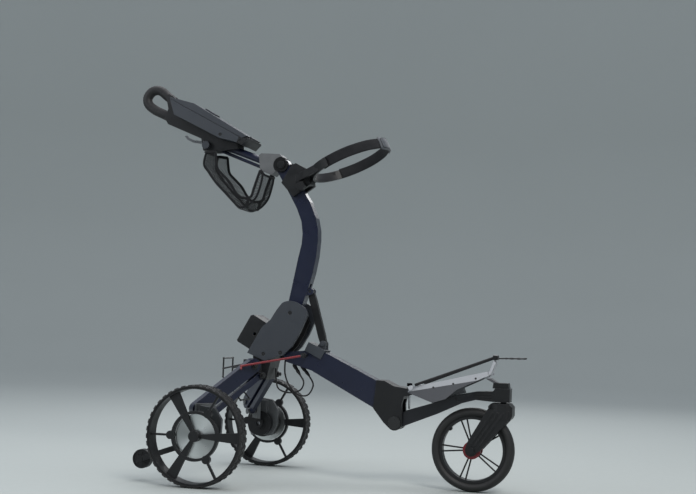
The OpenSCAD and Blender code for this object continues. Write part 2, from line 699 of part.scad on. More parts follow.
place() motor(1);  // left_motor
place() axle(1);  // left_axle
place() rear_rim(1);  // left_rim
place() rear_tyre(1);  // left_tyre
place() hub_disc(1);  // left_hub_disc
place() anti_tip_arm();
place() anti_tip_wheel();
place() lower_arm();
place() bag_rest();
place() bungee();
place() pull_tab();
place() head_block();
place() head_bearing();
place() fork();
place() front_axle();
place() front_rim();
place() front_tyre();
place() front_hub();
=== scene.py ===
"""Electric golf trolley: the looks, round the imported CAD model. Metres, +X forward, -Y its right side."""
import json
import math

import bpy
from mathutils import Matrix, Vector


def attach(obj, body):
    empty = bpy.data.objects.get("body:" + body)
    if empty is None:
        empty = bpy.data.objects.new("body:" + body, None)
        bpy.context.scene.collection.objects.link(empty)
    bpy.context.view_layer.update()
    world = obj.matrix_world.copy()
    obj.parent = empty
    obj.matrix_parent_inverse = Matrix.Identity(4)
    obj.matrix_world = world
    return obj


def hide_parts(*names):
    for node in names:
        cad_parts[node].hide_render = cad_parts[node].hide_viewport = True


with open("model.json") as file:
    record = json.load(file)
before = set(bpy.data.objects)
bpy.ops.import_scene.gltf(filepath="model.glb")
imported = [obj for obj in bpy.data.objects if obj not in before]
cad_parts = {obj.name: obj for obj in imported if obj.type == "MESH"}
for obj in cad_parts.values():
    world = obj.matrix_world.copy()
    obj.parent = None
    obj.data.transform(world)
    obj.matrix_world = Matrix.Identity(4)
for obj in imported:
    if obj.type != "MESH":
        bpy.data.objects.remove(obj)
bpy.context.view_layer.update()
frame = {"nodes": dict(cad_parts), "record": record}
nodes = frame["nodes"]
MID_X = 0.268          # design X is measured from the rear axle
WHEEL_Y = 0.310
REAR_R = 0.145
FRONT_R = 0.122
FRONT_C = (0.742 - MID_X, 0.0, FRONT_R)


def at(x, y, z):
    """A design point in millimetres as a point in the row frame."""
    return Vector((x / 1000 - MID_X, y / 1000, z / 1000))


# ---------------------------------------------------------------- camera, lights, floor

CAMERA_PLACE = (0.997, -3.403, 0.455)
CAMERA_TURN = (15.15, 4.154, 1.889)    # degrees: to the left of straight on, upwards, roll
CAMERA_LENS = 59.94                    # millimetres on a sensor 36 mm wide
BACKDROP = [(3, 0), (5.5, 0), (6.6, 0.06), (7.6, 0.32), (8.4, 0.85), (8.9, 1.6), (9.15, 2.6),
            (9.2, 5.0)]                # radius and height of the floor and the wall it curves up into


def camera():
    """The photograph's camera, fitted to the rims of the three wheels."""
    az, pitch, roll = (math.radians(a) for a in CAMERA_TURN)
    level_right = Vector((math.cos(az), math.sin(az), 0))
    ahead = Vector((-math.sin(az) * math.cos(pitch), math.cos(az) * math.cos(pitch), math.sin(pitch)))
    level_up = level_right.cross(ahead)
    right = level_right * math.cos(roll) + level_up * math.sin(roll)
    up = level_up * math.cos(roll) - level_right * math.sin(roll)
    data = bpy.data.cameras.new("camera")
    data.lens, data.sensor_width = CAMERA_LENS, 36
    data.clip_end = 200
    cam = bpy.data.objects.new("camera", data)
    turn = Matrix((right, up, -ahead)).transposed().to_4x4()
    cam.matrix_world = Matrix.Translation(CAMERA_PLACE) @ turn
    bpy.context.scene.collection.objects.link(cam)
    bpy.context.scene.camera = cam


def area_light(name, place, target, size, power, colour=(1, 1, 1)):
    """A rectangular lamp at `place`, turned towards `target`."""
    data = bpy.data.lights.new(name, "AREA")
    data.shape, data.size, data.size_y = "RECTANGLE", size[0], size[1]
    data.energy, data.color = power, colour
    lamp = bpy.data.objects.new(name, data)
    lamp.location = place
    lamp.rotation_euler = (Vector(target) - Vector(place)).to_track_quat("-Z", "Y").to_euler()
    bpy.context.scene.collection.objects.link(lamp)


def studio():
    """Soft light from above, and a floor that curves up into a wall all round."""
    world = bpy.data.worlds.new("studio")
    bpy.context.scene.world = world
    world.use_nodes = True
    world.node_tree.nodes["Background"].inputs["Color"].default_value = (0.86, 0.91, 1.0, 1)
    world.node_tree.nodes["Background"].inputs["Strength"].default_value = 0.75
    area_light("key", (2.4, -2.8, 3.4), (0, 0, 0.4), (1.6, 1.6), 105, (1.0, 0.97, 0.92))
    area_light("side", (-3.2, -2.2, 1.9), (0, 0, 0.5), (1.4, 2.2), 42, (0.93, 0.96, 1.0))
    area_light("top", (-0.4, 0.4, 3.6), (0, 0, 0.4), (2.4, 2.4), 50)
    area_light("back", (0.2, 3.6, 2.6), (0, 0, 0.5), (2.0, 1.2), 22)
    bpy.context.scene.view_settings.view_transform = "Standard"
    turns, under = 96, 0.0004
    verts = [(r * math.cos(2 * math.pi * i / turns), r * math.sin(2 * math.pi * i / turns), z - under)
             for r, z in BACKDROP for i in range(turns)] + [(0, 0, -under)]
    faces = [(len(verts) - 1, i, (i + 1) % turns) for i in range(turns)]
    for k in range(len(BACKDROP) - 1):
        for i in range(turns):
            here, after = k * turns, k * turns + turns
            faces.append((here + i, after + i, after + (i + 1) % turns, here + (i + 1) % turns))
    data = bpy.data.meshes.new("backdrop")
    data.from_pydata(verts, [], faces)
    for p in data.polygons:
        p.use_smooth = True
    data.materials.append(surface("backdrop_finish", (0.40, 0.43, 0.42), 0.85, grain=(60, 0.03), soften=0,
                                  mottle=(0.5, 0.03), specular=0.2))
    backdrop = bpy.data.objects.new("backdrop", data)
    bpy.context.scene.collection.objects.link(backdrop)


# ---------------------------------------------------------------- materials

made = {}


def feed(t, node, inputs):
    """Gives a node's sockets their values, or links them to the outputs that feed them."""
    for name, value in inputs.items():
        if isinstance(value, bpy.types.NodeSocket):
            t.links.new(value, node.inputs[name])
        else:
            node.inputs[name].default_value = value


def add(t, kind, out, inputs=None, **settings):
    """A new shader node in tree `t`; returns its output `out`."""
    node = t.nodes.new("ShaderNode" + kind)
    for name, value in settings.items():
        setattr(node, name, value)
    feed(t, node, inputs or {})
    return node.outputs[out]


def maths(t, operation, *values):
    """The result of a maths node on numbers or outputs."""
    return add(t, "Math", "Value", dict(enumerate(values)), operation=operation)


def vectors(t, operation, *values):
    """The result of a vector maths node: a number for a length or a dot product, else a vector."""
    out = "Value" if operation in ("LENGTH", "DOT_PRODUCT") else "Vector"
    return add(t, "VectorMath", out, dict(enumerate(values)), operation=operation)


def noise(t, where, scale, detail):
    """Smooth noise, about 0.5 in the middle."""
    return add(t, "TexNoise", "Fac", {"Vector": where, "Scale": scale, "Detail": detail})


def ramp(t, value, low, high, to_low=0, to_high=1):
    """`value` stretched from low..high to to_low..to_high."""
    return add(t, "MapRange", "Result", {"Value": value, "From Min": low, "From Max": high,
                                         "To Min": to_low, "To Max": to_high})


def blend(t, share, a, b, **settings):
    """Colour `a` with a share of colour `b`."""
    return add(t, "Mix", "Result", {"A": a, "B": b, "Factor": share}, data_type="RGBA", **settings)


def from_axis(t, where, centre):
    """The distance from the line along Y through `centre`."""
    away = vectors(t, "SUBTRACT", where, centre)
    return vectors(t, "LENGTH", vectors(t, "MULTIPLY", away, (1, 0, 1)))


def base_colour(t):
    """What feeds the base colour now."""
    return t.nodes["Principled BSDF"].inputs["Base Color"].links[0].from_socket


def recolour(t, colour):
    """Feeds the base colour from `colour`."""
    feed(t, t.nodes["Principled BSDF"], {"Base Color": colour})


def surface(name, colour, rough, metal=0.0, coat=0.0, mottle=(9, 0.12), grain=(900, 0.12), spread=0.08,
            soften=0.0010, worn=None, sheen=0.0, specular=0.5, anisotropic=0.0, turned=None):
    """A solid material: mottled colour, uneven roughness, fine grain, softened edges worn to `worn`.

    `mottle` is a scale and a strength, and so is `grain`. `turned` is the centre of a brushed disc.
    """
    if name in made:
        return made[name]
    m = bpy.data.materials.new(name)
    m.use_nodes = True
    m.diffuse_color = (*colour, 1)
    t = m.node_tree
    shader = t.nodes["Principled BSDF"]
    where = add(t, "TexCoord", "Object")
    darker = (*[c * (1 - mottle[1]) for c in colour], 1)
    lighter = (*[min(1, c * (1 + mottle[1])) for c in colour], 1)
    base = blend(t, noise(t, where, mottle[0], 6), darker, lighter)
    uneven = ramp(t, noise(t, where, 38, 8), 0.3, 0.7, max(0.02, rough - spread), min(1, rough + spread))
    bump = {"Strength": grain[1], "Distance": 0.0006,
            "Height": turned_rings(t, where, turned) if turned else noise(t, where, grain[0], 3)}
    if soften:
        bump["Normal"] = add(t, "Bevel", "Normal", {"Radius": soften}, samples=4)
    if soften and worn:
        facing = vectors(t, "DOT_PRODUCT", bump["Normal"], add(t, "NewGeometry", "Normal"))
        chips = ramp(t, noise(t, where, 120, 4), 0.44, 0.62)
        base = blend(t, maths(t, "MULTIPLY", ramp(t, facing, 0.985, 0.90), chips), base, (*worn, 1))
    feed(t, shader, {"Metallic": metal, "Coat Weight": coat, "Coat Roughness": 0.22, "Sheen Weight": sheen,
                     "Specular IOR Level": specular, "Anisotropic": anisotropic, "Roughness": uneven,
                     "Base Color": base, "Normal": add(t, "Bump", "Normal", bump)})
    made[name] = m
    return m


def turned_rings(t, where, centre):
    """Fine rings round a Y axis through `centre`, as a brushed disc has, and a tangent that runs round it."""
    tangent = add(t, "Tangent", "Tangent", direction_type="RADIAL", axis="Y")
    feed(t, t.nodes["Principled BSDF"], {"Tangent": tangent})
    return add(t, "TexNoise", "Fac", {"W": from_axis(t, where, centre), "Scale": 1500, "Detail": 5},
               noise_dimensions="1D")


def painted_reflection_fans(m, centre):
    """Painted reflection: two light fans and two darker ones round a Y axis, painted into the base colour as
    a circularly brushed disc's reflections show them.
    """
    tilt = 75       # degrees from straight ahead to a light fan
    t = m.node_tree
    apart = t.nodes.new("ShaderNodeSeparateXYZ")
    feed(t, apart, {0: vectors(t, "SUBTRACT", add(t, "TexCoord", "Object"), centre)})
    # The angle round the axis sets the painted reflection's light and dark fans.
    angle = maths(t, "ARCTAN2", apart.outputs["Z"], apart.outputs["X"])
    reflection_wave = maths(t, "COSINE", maths(t, "MULTIPLY_ADD", angle, 2, -2 * math.radians(tilt)))
    recolour(t, blend(t, 1, base_colour(t), ramp(t, reflection_wave, -1, 1, 0.62, 1.12), blend_type="MULTIPLY"))


def patch(m, colour, discs=(), lines=()):
    """Paints a material in discs of the side view (x, z, radius), or beyond lines (x, z, degrees)."""
    t = m.node_tree
    where = add(t, "TexCoord", "Object")
    masks = [maths(t, "LESS_THAN", from_axis(t, where, at(x, 0, z)), r / 1000) for x, z, r in discs]
    for x, z, degrees in lines:
        normal = Vector((math.cos(math.radians(degrees)), 0, math.sin(math.radians(degrees))))
        along = vectors(t, "DOT_PRODUCT", where, normal)
        masks.append(maths(t, "GREATER_THAN", along, at(x, 0, z).dot(normal)))
    total = masks[0]
    for other in masks[1:]:
        total = maths(t, "MAXIMUM", total, other)
    recolour(t, blend(t, total, base_colour(t), (*colour, 1)))
    return m


def woven(name, colour, pitch):
    """Webbing or cloth: two sets of threads that cross, as bump and as a faint change of colour."""
    if name in made:
        return made[name]
    m = surface(name, colour, 0.85, grain=(pitch * 3, 0.1), soften=0, sheen=0.05, specular=0.3)
    t = m.node_tree
    where = add(t, "TexCoord", "UV")
    threads = [add(t, "TexWave", "Fac", {"Vector": where, "Scale": pitch, "Distortion": 0.4},
                   bands_direction=direction) for direction in ("X", "Y")]
    over = maths(t, "MAXIMUM", *threads)
    bump = [node for node in t.nodes if node.type == "BUMP"][0]
    feed(t, bump, {"Strength": 0.5, "Height": over})
    feed(t, t.nodes["Principled BSDF"], {"Sheen Roughness": 0.5})
    recolour(t, blend(t, over, (*[c * 0.55 for c in colour], 1), base_colour(t)))
    return m


def mesh_cloth(name, colour):
    """Open net: holes between threads, cut by alpha. It follows the cloth's UVs, in metres."""
    pitch, thread = 0.0042, 0.0016
    m = surface(name, colour, 0.8, grain=(900, 0.1), soften=0, specular=0.2)
    t = m.node_tree
    turn = add(t, "Mapping", "Vector", {"Vector": add(t, "TexCoord", "UV"),
                                        "Rotation": (0, 0, math.radians(45))})
    apart = t.nodes.new("ShaderNodeSeparateXYZ")
    feed(t, apart, {0: turn})
    threads = [maths(t, "LESS_THAN", maths(t, "PINGPONG", apart.outputs[axis], pitch / 2), thread / 2)
               for axis in ("X", "Y")]
    feed(t, t.nodes["Principled BSDF"], {"Alpha": maths(t, "MAXIMUM", *threads)})
    return m


# ---------------------------------------------------------------- building pieces

def piece(name, verts, faces, material, body, replaces=(), smooth=True, uv=None):
    """A mesh on a moving body and the CAD nodes that it stands in for."""
    data = bpy.data.meshes.new(name)
    data.from_pydata([tuple(v) for v in verts], [], faces)
    data.materials.append(material)
    if uv:
        layer = data.uv_layers.new(name="flat")
        for loop in data.loops:
            layer.data[loop.index].uv = uv[loop.vertex_index]
    for p in data.polygons:
        p.use_smooth = smooth
    obj = bpy.data.objects.new(name, data)
    bpy.context.scene.collection.objects.link(obj)
    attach(obj, body)
    if replaces:
        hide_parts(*replaces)
    return obj


def bevel(obj, width, segments=2):
    """Rounds the edges of a piece that turn by more than 35 degrees, by `width`."""
    b = obj.modifiers.new("soft_edges", "BEVEL")
    b.width, b.segments = width, segments
    b.limit_method, b.angle_limit = "ANGLE", math.radians(35)
    b.harden_normals = True
    return obj


def catmull(points, steps):
    """A smooth curve through the points, `steps` points to each stretch."""
    points = [Vector(p) for p in points]
    last = len(points) - 1
    out = []
    for i in range(last):
        a, b, c, d = (points[min(max(k, 0), last)] for k in range(i - 1, i + 3))
        for s in range(steps):
            t = s / steps
            out.append(0.5 * (2 * b + (c - a) * t + (2 * a - 5 * b + 4 * c - d) * t * t
                              + (3 * b - a - 3 * c + d) * t ** 3))
    return out + [points[-1]]


def tube(path, section, closed=False, side=Vector((0, 1, 0))):
    """Verts and faces of a tube along a path; section(i, share) gives its (across, up) points there."""
    verts, faces, rings = [], [], len(path)
    for i, p in enumerate(path):
        ahead = path[(i + 1) % rings] if closed or i < rings - 1 else p
        back = path[i - 1] if closed or i else p
        t = (ahead - back).normalized()
        across = (side - t * side.dot(t)).normalized()
        up = t.cross(across)
        ring = section(i, i / max(1, rings - 1))
        verts += [p + across * a + up * b for a, b in ring]
    k = len(ring)
    for i in range(rings if closed else rings - 1):
        for j in range(k):
            a, b = i * k + j, i * k + (j + 1) % k
            c, d = (i + 1) % rings * k + (j + 1) % k, (i + 1) % rings * k + j
            faces.append((a, b, c, d))
    if not closed:
        faces += [tuple(range(k))[::-1], tuple(range((rings - 1) * k, rings * k))]
    return verts, faces


def oval(a, b, n=24, power=1.0):
    """A section a by b (half its size each way), squarer with a lower power."""
    return [(a * math.copysign(abs(math.cos(t)) ** power, math.cos(t)),
             b * math.copysign(abs(math.sin(t)) ** power, math.sin(t)))
            for t in (2 * math.pi * k / n for k in range(n))]


def cable(name, points, width, body, material, replaces=()):
    """A round cord along the points."""
    curve = bpy.data.curves.new(name, "CURVE")
    curve.dimensions = "3D"
    curve.bevel_depth, curve.bevel_resolution, curve.resolution_u = width / 2, 5, 4
    curve.use_fill_caps = True
    line = curve.splines.new("POLY")
    line.points.add(len(points) - 1)
    for p, q in zip(line.points, points):
        p.co = (*q, 1)
    line.use_smooth = True
    curve.materials.append(material)
    obj = bpy.data.objects.new(name, curve)
    bpy.context.scene.collection.objects.link(obj)
    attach(obj, body)
    if replaces:
        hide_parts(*replaces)
    return obj


def length(points):
    """The length of the line through the points."""
    return sum((b - a).length for a, b in zip(points, points[1:]))


def lathe(profile, centre, segments=128):
    """Verts and faces of a closed profile of (radius, y) turned round a Y axis through centre."""
    verts, faces, k = [], [], len(profile)
    for i in range(segments):
        a = 2 * math.pi * i / segments
        verts += [(centre[0] + r * math.cos(a), centre[1] + y, centre[2] + r * math.sin(a))
                  for r, y in profile]
    for i in range(segments):
        for j in range(k):
            a, b = i * k + j, i * k + (j + 1) % k
            c, d = (i + 1) % segments * k + (j + 1) % k, (i + 1) % segments * k + j
            faces.append((a, b, c, d))
    return verts, faces


def ring_block(centre, r0, r1, a0, a1, y0, y1, slant, taper):
    """A tread block on a wheel: angles a0 to a1 (radians), y0 to y1, `slant` its twist along y."""
    verts, faces = [], []
    n, across, edge_width = 3, 3, 0.0012
    for layer, r in ((0, r0), (1, r1)):
        pull = taper * layer
        for i in range(n + 1):
            for j in range(across + 1):
                u, v = i / n, j / across
                a = a0 + pull + (a1 - a0 - 2 * pull) * u + slant * (v - 0.5)
                edge = edge_width * layer
                y = y0 + edge + (y1 - y0 - 2 * edge) * v
                verts.append((centre[0] + r * math.cos(a), centre[1] + y, centre[2] + r * math.sin(a)))
    w = across + 1
    size = (n + 1) * w
    for i in range(n):
        for j in range(across):
            q = (i * w + j, (i + 1) * w + j, (i + 1) * w + j + 1, i * w + j + 1)
            faces += [q[::-1], tuple(x + size for x in q)]
    for i in range(n):
        faces += [(i * w, (i + 1) * w, (i + 1) * w + size, i * w + size),
                  (i * w + across, i * w + across + size, (i + 1) * w + across + size, (i + 1) * w + across)]
    for j in range(across):
        faces += [(j, j + size, j + 1 + size, j + 1),
                  (n * w + j, n * w + j + 1, n * w + j + 1 + size, n * w + j + size)]
    return verts, faces


def join(parts):
    """Several (verts, faces) pairs as one."""
    verts, faces = [], []
    for v, f in parts:
        faces += [tuple(i + len(verts) for i in q) for q in f]
        verts += list(v)
    return verts, faces


# ---------------------------------------------------------------- finishes of the record's slots

BLACK = (0.0072, 0.0076, 0.0088)
PAINTS = {      # colour, roughness and the rest of surface()'s settings
    "navy_paint": ((0.0075, 0.0105, 0.030), 0.33, dict(
        metal=0.15, coat=0.35, mottle=(14, 0.25), grain=(1500, 0.05), soften=0.0022, worn=(0.07, 0.075, 0.09),
        specular=0.4)),
    "slate_plastic": ((0.036, 0.041, 0.050), 0.46, dict(
        grain=(1100, 0.2), soften=0.0020, worn=(0.075, 0.08, 0.09), specular=0.4)),
    "black_plastic": (BLACK, 0.44, dict(
        grain=(950, 0.25), mottle=(20, 0.3), soften=0.0016, worn=(0.03, 0.03, 0.033), specular=0.38)),
    "cast_aluminium": ((0.15, 0.155, 0.16), 0.50, dict(
        metal=0.8, grain=(420, 0.4), mottle=(30, 0.2), soften=0.0016, worn=(0.30, 0.30, 0.31))),
    "grey_plastic": ((0.115, 0.118, 0.126), 0.46, dict(
        grain=(800, 0.22), soften=0.0020, worn=(0.22, 0.22, 0.23))),
    "black_wire": ((0.009, 0.009, 0.010), 0.30, dict(coat=0.3, soften=0.0006)),
    "steel": ((0.40, 0.41, 0.43), 0.36, dict(metal=1.0, grain=(1300, 0.2), soften=0.0008)),
    "bright_steel": ((0.58, 0.59, 0.61), 0.18, dict(
        metal=1.0, grain=(300, 0.03), spread=0.05, soften=0.0008)),
    "red_paint": ((0.17, 0.007, 0.013), 0.42, dict(
        metal=0.1, coat=0.15, mottle=(30, 0.22), worn=(0.20, 0.04, 0.045))),
    "rubber": ((0.010, 0.010, 0.011), 0.54, dict(grain=(700, 0.45), soften=0.0008, specular=0.4)),
    "tyre": ((0.0095, 0.0095, 0.010), 0.58, dict(
        grain=(380, 0.4), mottle=(24, 0.45), soften=0.0009, worn=(0.045, 0.044, 0.040))),
    "cells": ((0.04, 0.13, 0.34), 0.3, dict(coat=0.4, soften=0.0008)),
    "board": ((0.012, 0.10, 0.035), 0.45, dict(grain=(300, 0.4), soften=0.0003)),
}


def paint(name, slot=None, colour=None, rough=None, **changes):
    """A finish of PAINTS, or one of its own name that differs from its slot's in a few settings."""
    usual_colour, usual_rough, settings = PAINTS[slot or name]
    return surface(name, colour or usual_colour, rough or usual_rough, **{**settings, **changes})


def finishes():
    """Every slot's material."""
    made_for = {slot: paint(slot) for slot in PAINTS}
    made_for["webbing"] = woven("webbing", (0.011, 0.0115, 0.014), 260)
    made_for["net_mesh"] = mesh_cloth("net_mesh", (0.007, 0.007, 0.008))
    return made_for


def special_finishes():
    """Finishes of single nodes: those in two colours, the tray with a painted highlight on its upper strip,
    and those unlike the rest of their slot.
    """
    # Painted highlight: the tray's upper strip, beyond the slanted line, is painted light where its top face
    # catches the light.
    tray = patch(paint("tray_moulding_painted_highlight", "grey_plastic", (0.085, 0.087, 0.098)), (0.42, 0.43, 0.46),
                 lines=[(692, 312, 101.5)])
    return {
        "handle_tube": patch(paint("handle_paint", "navy_paint"), BLACK, discs=[(128, 961, 16)]),
        "brake_lever": surface("lever_metal", (0.20, 0.205, 0.215), 0.34, metal=1.0, grain=(600, 0.1),
                               soften=0.0008),
        "handle_joint": patch(paint("joint_casting", "cast_aluminium", metal=0.6), BLACK,
                              discs=[(128, 961, 25.5)]),
        "console_body": patch(paint("console_shell", "slate_plastic"), BLACK,
                              discs=[(5, 1031, 5.2), (-62, 1052, 5.2)], lines=[(-4, 1034, -22)]),
        "bag_rest": patch(tray, (0.02, 0.02, 0.022),
                          discs=[(632, 300, 3.2), (690, 313, 3.2), (755, 331, 3.2)]),
        "release_lever": patch(paint("lever_red", "red_paint"), BLACK, discs=[(235, 378, 8.6)]),
        "latch_rod": patch(paint("rod_metal", "bright_steel"), BLACK, lines=[(548, 297.5, 90)]),
        "lower_arm": paint("arm_black", "navy_paint", (0.0085, 0.0092, 0.013), 0.36, metal=0.1, coat=0.2,
                           worn=(0.06, 0.062, 0.07)),
        "front_axle": surface("axle_black", (0.010, 0.010, 0.012), 0.34, metal=0.3, grain=(900, 0.1),
                              worn=(0.07, 0.07, 0.072)),
    }


def dress(finish):
    """Every CAD node's finish, from its slot. The hub discs have rings round their own axles."""
    special = special_finishes()
    for sub in frame["record"]["subparts"]:
        obj, slot = nodes[sub["node"]], sub["material_slot"]
        if slot == "brushed_disc":
            centre = (-MID_X, WHEEL_Y if sub["node"].startswith("left") else -WHEEL_Y, REAR_R)
            m = surface("brushed_disc_" + sub["node"], (0.60, 0.62, 0.62), 0.30, metal=1.0, grain=(1, 0.02),
                        anisotropic=0.85, spread=0.03, turned=centre, soften=0.0006)
            # Painted reflection: light and dark fans in the disc's base colour.
            painted_reflection_fans(m, centre)
        else:
            m = special.get(sub["node"], finish[slot])
        obj.data.materials.clear()
        obj.data.materials.append(m)


# ---------------------------------------------------------------- cords and leads

LEAD_A = [(188, -8, 346), (208, -10, 318), (222, -14, 296), (212, -14, 272), (176, -8, 262), (138, 0, 272),
          (127, 6, 302), (124, 8, 334)]
LEAD_B = [(208, 12, 341), (232, 14, 312), (244, 14, 286), (228, 10, 256), (196, 6, 258), (168, 10, 284),
          (152, 14, 320), (151, 16, 362)]


def leads(finish):
    """Two leads that hang in loops under the hub, each from a ribbed connector under the beam."""
    for name, route in (("motor_lead_a", LEAD_A), ("motor_lead_b", LEAD_B)):
        path = catmull([at(*p) for p in route], 5)
        first = (path[3] - path[0]).normalized()
        plug_path = [path[0] - first * 0.004 + first * s * 0.0065 for s in range(7)]
        radii = [0.0046, 0.0058, 0.0058, 0.0046, 0.0054, 0.0042, 0.0034]
        v, f = tube(plug_path, lambda i, s: oval(radii[i], radii[i], 20))
        plug = piece(name + "_connector", v, f, finish["rubber"], "chassis")
        bevel(plug, 0.0006)
        cord = cable(name, path, 0.0048, "chassis", finish["rubber"], ["motor_cables"])


def tray_cord(finish):
    """The tray's elastic cord: one taut run on each side, from the rear lugs to the cleat."""
    for name, s in (("right", -1), ("left", 1)):
        a, b = at(578.5, s * 73, 305), at(800, s * 10, 391.8)
        path = [a.lerp(b, i / 24) for i in range(25)]
        braid = woven("braid", (0.016, 0.016, 0.018), 420)
        radii = (0.004, 0.00412)        # the braid's slight ripple
        v, f = tube(path, lambda i, t: oval(radii[i % 2], radii[i % 2], 20))
        cord = piece("tray_cord_" + name, v, f, braid, "front_frame", ["bungee"])
        uv = cord.data.uv_layers.new(name="flat")
        for loop in cord.data.loops:
            k = loop.vertex_index
            uv.data[loop.index].uv = (k % 20 * 0.00126, k // 20 * (b - a).length / 24)
    cleat_path = [at(803, -17 + 34 * i / 16, 391.8) for i in range(17)]

    def section(i, s):
        """Thinner near both ends."""
        share = 1 if 2 < i < 14 else 0.9
        return oval(0.0080 * share, 0.0074 * share, 24, 0.5)

    v, f = tube(cleat_path, section, side=Vector((1, 0, 0)))
    bevel(piece("cord_cleat", v, f, finish["black_plastic"], "front_frame"), 0.0008)


# ---------------------------------------------------------------- storage net

NET_LINE = [(80, 928), (78, 905), (64, 858), (35, 829), (5, 820), (-22, 843), (-52, 872), (-81, 900),
            (-108, 935), (-125, 960), (-118, 1001)]
NET_RIM = [(70, 941), (60, 912), (51, 884), (41, 858), (12, 856), (-8, 872), (-28, 902), (-52, 926),
           (-71, 946), (-77, 972), (-80, 996)]


def net(finish):
    """One scoop of open mesh: low sides between a scooped rim and the bottom, with thick binding."""
    line = catmull([Vector((x, 0, z)) for x, z in NET_LINE], 5)
    rim = catmull([Vector((x, 0, z)) for x, z in NET_RIM], 5)
    n, half = len(line) - 1, 52.5

    def row(i):
        """One crossing of the net, from its right rim round the bottom to its left rim."""
        low, top = line[i], rim[i]
        height = (top - low).length
        turn = min(14.0, height * 0.35)
        sides = []
        for sign in (-1, 1):
            side = []
            for k in range(7):
                f = k / 6
                bow = 2.0 * math.sin(math.pi * f) * min(1, height / 60)
                side.append(Vector((0, sign * (half + bow), 0)) + top.lerp(low, f * (1 - turn / height)))
            for k in range(1, 6):
                a = math.pi / 2 * k / 6
                q = top.lerp(low, 1 - turn / height * (1 - math.sin(a)))
                side.append(Vector((0, sign * (half - turn * (1 - math.cos(a))), 0)) + q)
            sides.append(side)
        flat = [Vector((0, -half + turn + (2 * half - 2 * turn) * k / 8, 0)) + low for k in range(9)]
        return sides[0] + flat + sides[1][::-1]

    rows = [[at(*p) for p in row(i)] for i in range(n + 1)]
    k = len(rows[0])
    verts = [p for r in rows for p in r]
    faces = [(i * k + j, i * k + j + 1, (i + 1) * k + j + 1, (i + 1) * k + j)
             for i in range(n) for j in range(k - 1)]
    uv = []
    along = 0.0
    for i, r in enumerate(rows):
        along += (r[k // 2] - rows[i - 1][k // 2]).length if i else 0
        mid = length(r) / 2
        walked = 0.0
        for j, p in enumerate(r):
            walked += (p - r[j - 1]).length if j else 0
            uv.append((along, walked - mid))
    cloth = piece("net_cloth", verts, faces, finish["net_mesh"], "handle", ["storage_net"], uv=uv)

    def trim(name, path, wide, thick, **way):
        """A binding along an edge or a row."""
        v, f = tube(path, lambda i, s: oval(wide, thick, 16, 0.7), **way)
        piece("net_trim_" + name, v, f, finish["webbing"], "handle")

    trim("front", rows[0], 0.0050, 0.0018, side=Vector((1, 0, 0.2)))
    trim("back", rows[-1], 0.0050, 0.0018, side=Vector((1, 0, 0.2)))
    trim("middle", rows[n // 3], 0.0050, 0.0014, side=Vector((1, 0, 0.05)))
    for name, edge in (("right", 0), ("left", k - 1)):
        trim("rim_" + name, [r[edge] for r in rows], 0.0022, 0.0042)
    for name, edge in (("right", 8), ("left", k - 9)):
        trim("base_" + name, [r[edge] for r in rows], 0.0022, 0.0034)


# ---------------------------------------------------------------- grip

GRIP = [(-250, 1171), (-272, 1188), (-300, 1208), (-326, 1206), (-342, 1186), (-338, 1164), (-316, 1146),
        (-286, 1132), (-256, 1118)]


def grip(finish):
    """The rubber loop, ribbed on the palm side, and a ring at each end."""
    path = catmull([at(x, 0, z) for x, z in GRIP], 16)
    n = len(path)

    def section(i, s):
        """The grip's section: fuller in the middle, with a rib across the palm side every fourth ring."""
        swell = 0.0151 + 0.0005 * math.sin(math.pi * s)
        rib = -0.0007 if 0.16 < s < 0.84 and i % 4 == 0 else 0.0
        ring = []
        for k in range(40):
            a = 2 * math.pi * k / 40
            r = swell + (rib if math.sin(a) < 0.35 else 0)
            ring.append((r * math.cos(a) * 0.98, r * math.sin(a)))
        return ring

    v, f = tube(path, section)
    piece("grip_rubber", v, f, finish["rubber"], "handle", ["grip_cover"])
    for name, i in (("upper", 2), ("lower", n - 3)):
        t = (path[i + 1] - path[i]).normalized()
        radii = (0.0158, 0.0163, 0.0163, 0.0158)
        v, f = tube([path[i] + t * d for d in (-0.003, -0.002, 0.002, 0.003)],
                    lambda k, s: oval(radii[k], radii[k], 40))
        piece("grip_ring_" + name, v, f, finish["black_plastic"], "handle")


# ---------------------------------------------------------------- tyres

def rear_tyre(side, finish):
    """Carcass, moulded sidewall rings and three rows of tread blocks."""
    name = "left" if side > 0 else "right"
    centre = (-MID_X, side * WHEEL_Y, REAR_R)
    base = REAR_R - 0.0027
    half = 0.024
    profile = [(0.1382, -0.0215), (0.1388, -0.0236), (0.1396, -half), (base - 0.0006, -half + 0.001),
               (base, -half + 0.003), (base + 0.0005, -0.012), (base + 0.0007, 0), (base + 0.0005, 0.012),
               (base, half - 0.003), (base - 0.0006, half - 0.001), (0.1396, half), (0.1388, 0.0236),
               (0.1382, 0.0215)]
    parts = [lathe(profile, centre, 144)]
    count = 42
    step = 2 * math.pi / count
    rows = (      # top radius, start and end as shares of a step, edges along Y, slant
        (REAR_R - 0.0004, 0, 0.66, -0.0238, -0.0100, 0.03),
        (REAR_R - 0.0004, 0.5, 1.16, 0.0100, 0.0238, -0.03),
        (REAR_R, 0.28, 0.84, -0.0072, 0.0072, 0.05))
    for i in range(count):
        for top, start, end, y0, y1, slant in rows:
            a = step * i
            parts.append(ring_block(centre, base - 0.001, top, a + step * start, a + step * end, y0, y1,
                                    slant, taper=0.006))
    v, f = join(parts)
    bevel(piece("rear_tyre_" + name, v, f, finish["tyre"], name + "_wheel", [name + "_tyre"],
                smooth=False), 0.0006, 1)


